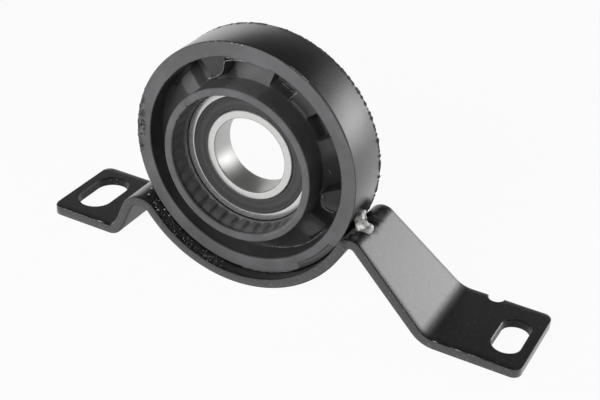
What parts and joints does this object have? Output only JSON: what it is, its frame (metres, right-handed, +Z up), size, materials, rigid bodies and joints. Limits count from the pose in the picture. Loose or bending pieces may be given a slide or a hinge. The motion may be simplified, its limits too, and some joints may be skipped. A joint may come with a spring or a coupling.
{
  "type": "driveshaft centre bearing",
  "caption": "Sealed ball bearing hung in moulded rubber inside a steel ring, welded into a bent strap bracket with slotted feet.",
  "frame": {"origin": "centre of the bounding box in X and Y, at the base, which is the underside of the strap's belly", "axes": "X runs across the two feet, towards the long leg; Y runs along the shaft, towards the rear; Z is up"},
  "size_m": [0.236, 0.0448, 0.1134],
  "materials": {
    "paint": "satin black paint, worn at the edges",
    "weld": "bare weld metal",
    "rubber": "dull moulded black rubber",
    "pressed_steel": "pressed sheet steel",
    "bearing_steel": "ground bearing steel",
    "seal": "smooth dark seal rubber"
  },
  "bodies": {
    "mount": {"bracket_strap": "paint", "outer_ring": "paint", "weld_bead_right": "weld", "weld_bead_left": "weld", "rubber_mount": "rubber", "bearing_sleeve": "pressed_steel", "outer_race": "bearing_steel", "seal_front": "seal", "seal_rear": "seal"},
    "inner_ring": {"inner_race": "bearing_steel"},
    "ball_set": {"cage_front": "pressed_steel", "cage_rear": "pressed_steel", "ball_01": "bearing_steel", "ball_02": "bearing_steel", "ball_03": "bearing_steel", "ball_04": "bearing_steel", "ball_05": "bearing_steel", "ball_06": "bearing_steel", "ball_07": "bearing_steel", "ball_08": "bearing_steel", "ball_09": "bearing_steel", "ball_10": "bearing_steel", "ball_11": "bearing_steel"}
  },
  "joints": [
    {"name": "shaft_spin", "type": "hinge", "parent": "mount", "child": "inner_ring", "pos_m": [-0.0178, -0.00375, 0.0591], "axis": [0, 1, 0], "continuous": true},
    {"name": "cage_spin", "type": "hinge", "parent": "mount", "child": "ball_set", "pos_m": [-0.0178, -0.00375, 0.0591], "axis": [0, 1, 0], "continuous": true}
  ],
  "couplings": [
    {"joint": "cage_spin", "follows": "shaft_spin", "ratio": 0.4181}
  ]
}
